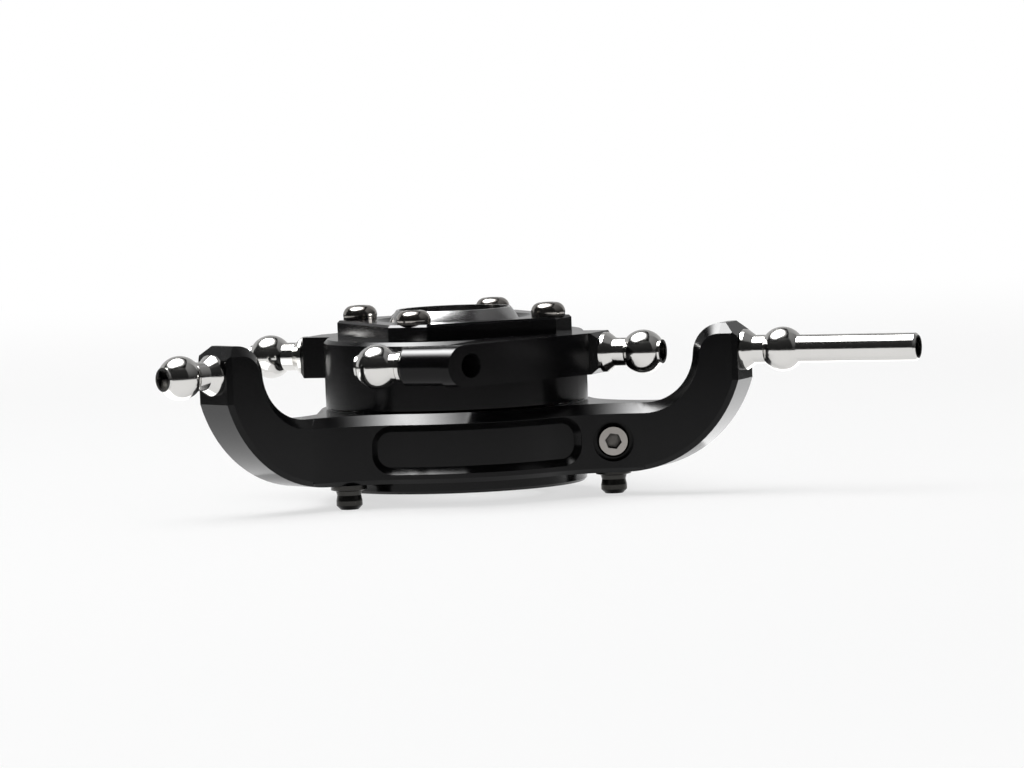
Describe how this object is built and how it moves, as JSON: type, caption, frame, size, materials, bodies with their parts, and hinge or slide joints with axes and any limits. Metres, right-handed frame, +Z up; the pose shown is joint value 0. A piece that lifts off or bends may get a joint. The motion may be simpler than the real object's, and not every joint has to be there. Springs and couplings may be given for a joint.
{
  "type": "helicopter swashplate",
  "caption": "Swashplate for a model helicopter: a fixed lower body with cranked arms, a rotating star on ball bearings, and a tilting ball bored for the mast.",
  "frame": {"origin": "centre of the uniball, on the mast axis", "axes": "+Z up the mast, +Y along the rear arm"},
  "size_m": [0.0821, 0.068, 0.0212],
  "materials": {
    "black_anodised": "satin black anodised, machined",
    "polished_steel": "polished",
    "screw_steel": "polished, slightly darker",
    "dark_steel": "blackened",
    "bearing_steel": "ground",
    "cage_brass": "pressed",
    "liner_plastic": "matte",
    "uniball_silver": "fine turned"
  },
  "bodies": {
    "lower": {"lower_body": "black_anodised", "rear_ball_stud": "polished_steel", "left_ball_stud": "polished_steel", "antirotation_pin": "polished_steel", "arm_root_posts": "dark_steel", "post_clamp_screws": "screw_steel", "bearing_snap_ring": "dark_steel", "upper_bearing_outer_race": "bearing_steel", "upper_bearing_shield": "bearing_steel", "lower_bearing_outer_race": "bearing_steel", "lower_bearing_shield": "bearing_steel"},
    "upper_cage": {"upper_bearing_cage": "cage_brass", "upper_bearing_balls": "bearing_steel"},
    "lower_cage": {"lower_bearing_cage": "cage_brass", "lower_bearing_balls": "bearing_steel"},
    "rotor": {"star": "black_anodised", "right_grip_ball_stud": "polished_steel", "left_grip_ball_stud": "polished_steel", "front_driver_ball_stud": "polished_steel", "rear_driver_ball_stud": "polished_steel", "top_plate": "black_anodised", "top_plate_screws": "screw_steel", "upper_race_liner": "liner_plastic", "lower_race_liner": "liner_plastic", "upper_bearing_inner_race": "bearing_steel", "lower_bearing_inner_race": "bearing_steel", "bearing_shim": "bearing_steel", "bearing_lock_ring": "dark_steel"},
    "uniball": {"uniball": "uniball_silver"}
  },
  "joints": [
    {"name": "star_spin", "type": "hinge", "parent": "lower", "child": "rotor", "pos_m": [0, 0, 0], "axis": [0, 0, 1], "continuous": true},
    {"name": "upper_cage_spin", "type": "hinge", "parent": "lower", "child": "upper_cage", "pos_m": [0, 0, -0.0081], "axis": [0, 0, 1], "continuous": true},
    {"name": "lower_cage_spin", "type": "hinge", "parent": "lower", "child": "lower_cage", "pos_m": [0, 0, -0.0121], "axis": [0, 0, 1], "continuous": true},
    {"name": "uniball_tilt", "type": "hinge", "parent": "rotor", "child": "uniball", "pos_m": [0, 0, 0], "axis": [0.848, -0.5299, 0], "range_deg": [-9, 9]}
  ],
  "couplings": [
    {"joint": "upper_cage_spin", "follows": "star_spin", "ratio": 0.4574},
    {"joint": "lower_cage_spin", "follows": "star_spin", "ratio": 0.4574}
  ]
}
